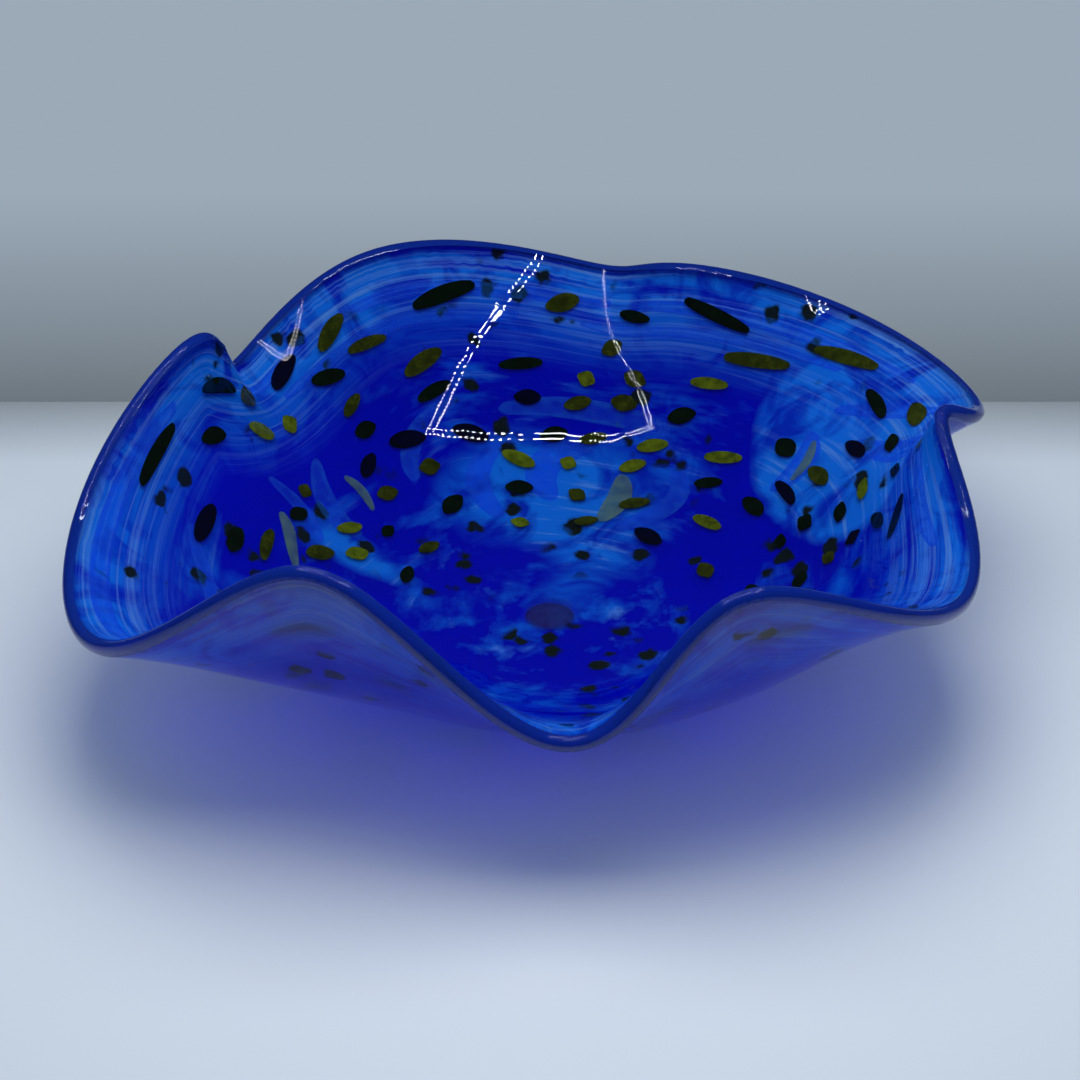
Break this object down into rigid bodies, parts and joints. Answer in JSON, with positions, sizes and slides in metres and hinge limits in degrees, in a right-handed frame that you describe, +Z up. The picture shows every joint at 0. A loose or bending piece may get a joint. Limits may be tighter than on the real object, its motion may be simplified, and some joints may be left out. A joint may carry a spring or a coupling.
{
  "type": "ruffled art glass bowl",
  "caption": "Free-form blown glass bowl with a wavy ruffled rim, cased blue glass with embedded green and olive flecks and pale swirls.",
  "frame": {"origin": "middle of the flat base, on the surface that the bowl stands on", "axes": "+Z up out of the bowl's mouth, -Y towards the narrow dip at the front of the rim, +X to the right when seen from the front"},
  "size_m": [0.2971, 0.2791, 0.1036],
  "materials": {
    "clear_glass": "fire-polished gloss",
    "cobalt_glass": "gloss, dark blue, see-through",
    "azure_glass": "milky bright blue",
    "opal_glass": "milky white to pale yellow-green",
    "olive_glass": "crushed glass, olive",
    "green_glass": "crushed glass, blackish green",
    "navy_glass": "crushed glass, navy",
    "chartreuse_glass": "crushed glass, yellow-green",
    "lip_glass": "fire-polished gloss, nearly black blue-violet",
    "scar_glass": "rough broken spot, brownish"
  },
  "bodies": {
    "root": {"clear_lining": "clear_glass", "cobalt_body": "cobalt_glass", "clear_casing": "clear_glass", "lip_thread": "lip_glass", "pontil_scar": "scar_glass", "azure_trails": "azure_glass", "opal_trails": "opal_glass", "olive_chips": "olive_glass", "green_chips": "green_glass", "navy_chips": "navy_glass", "chartreuse_chips": "chartreuse_glass"}
  },
  "joints": []
}
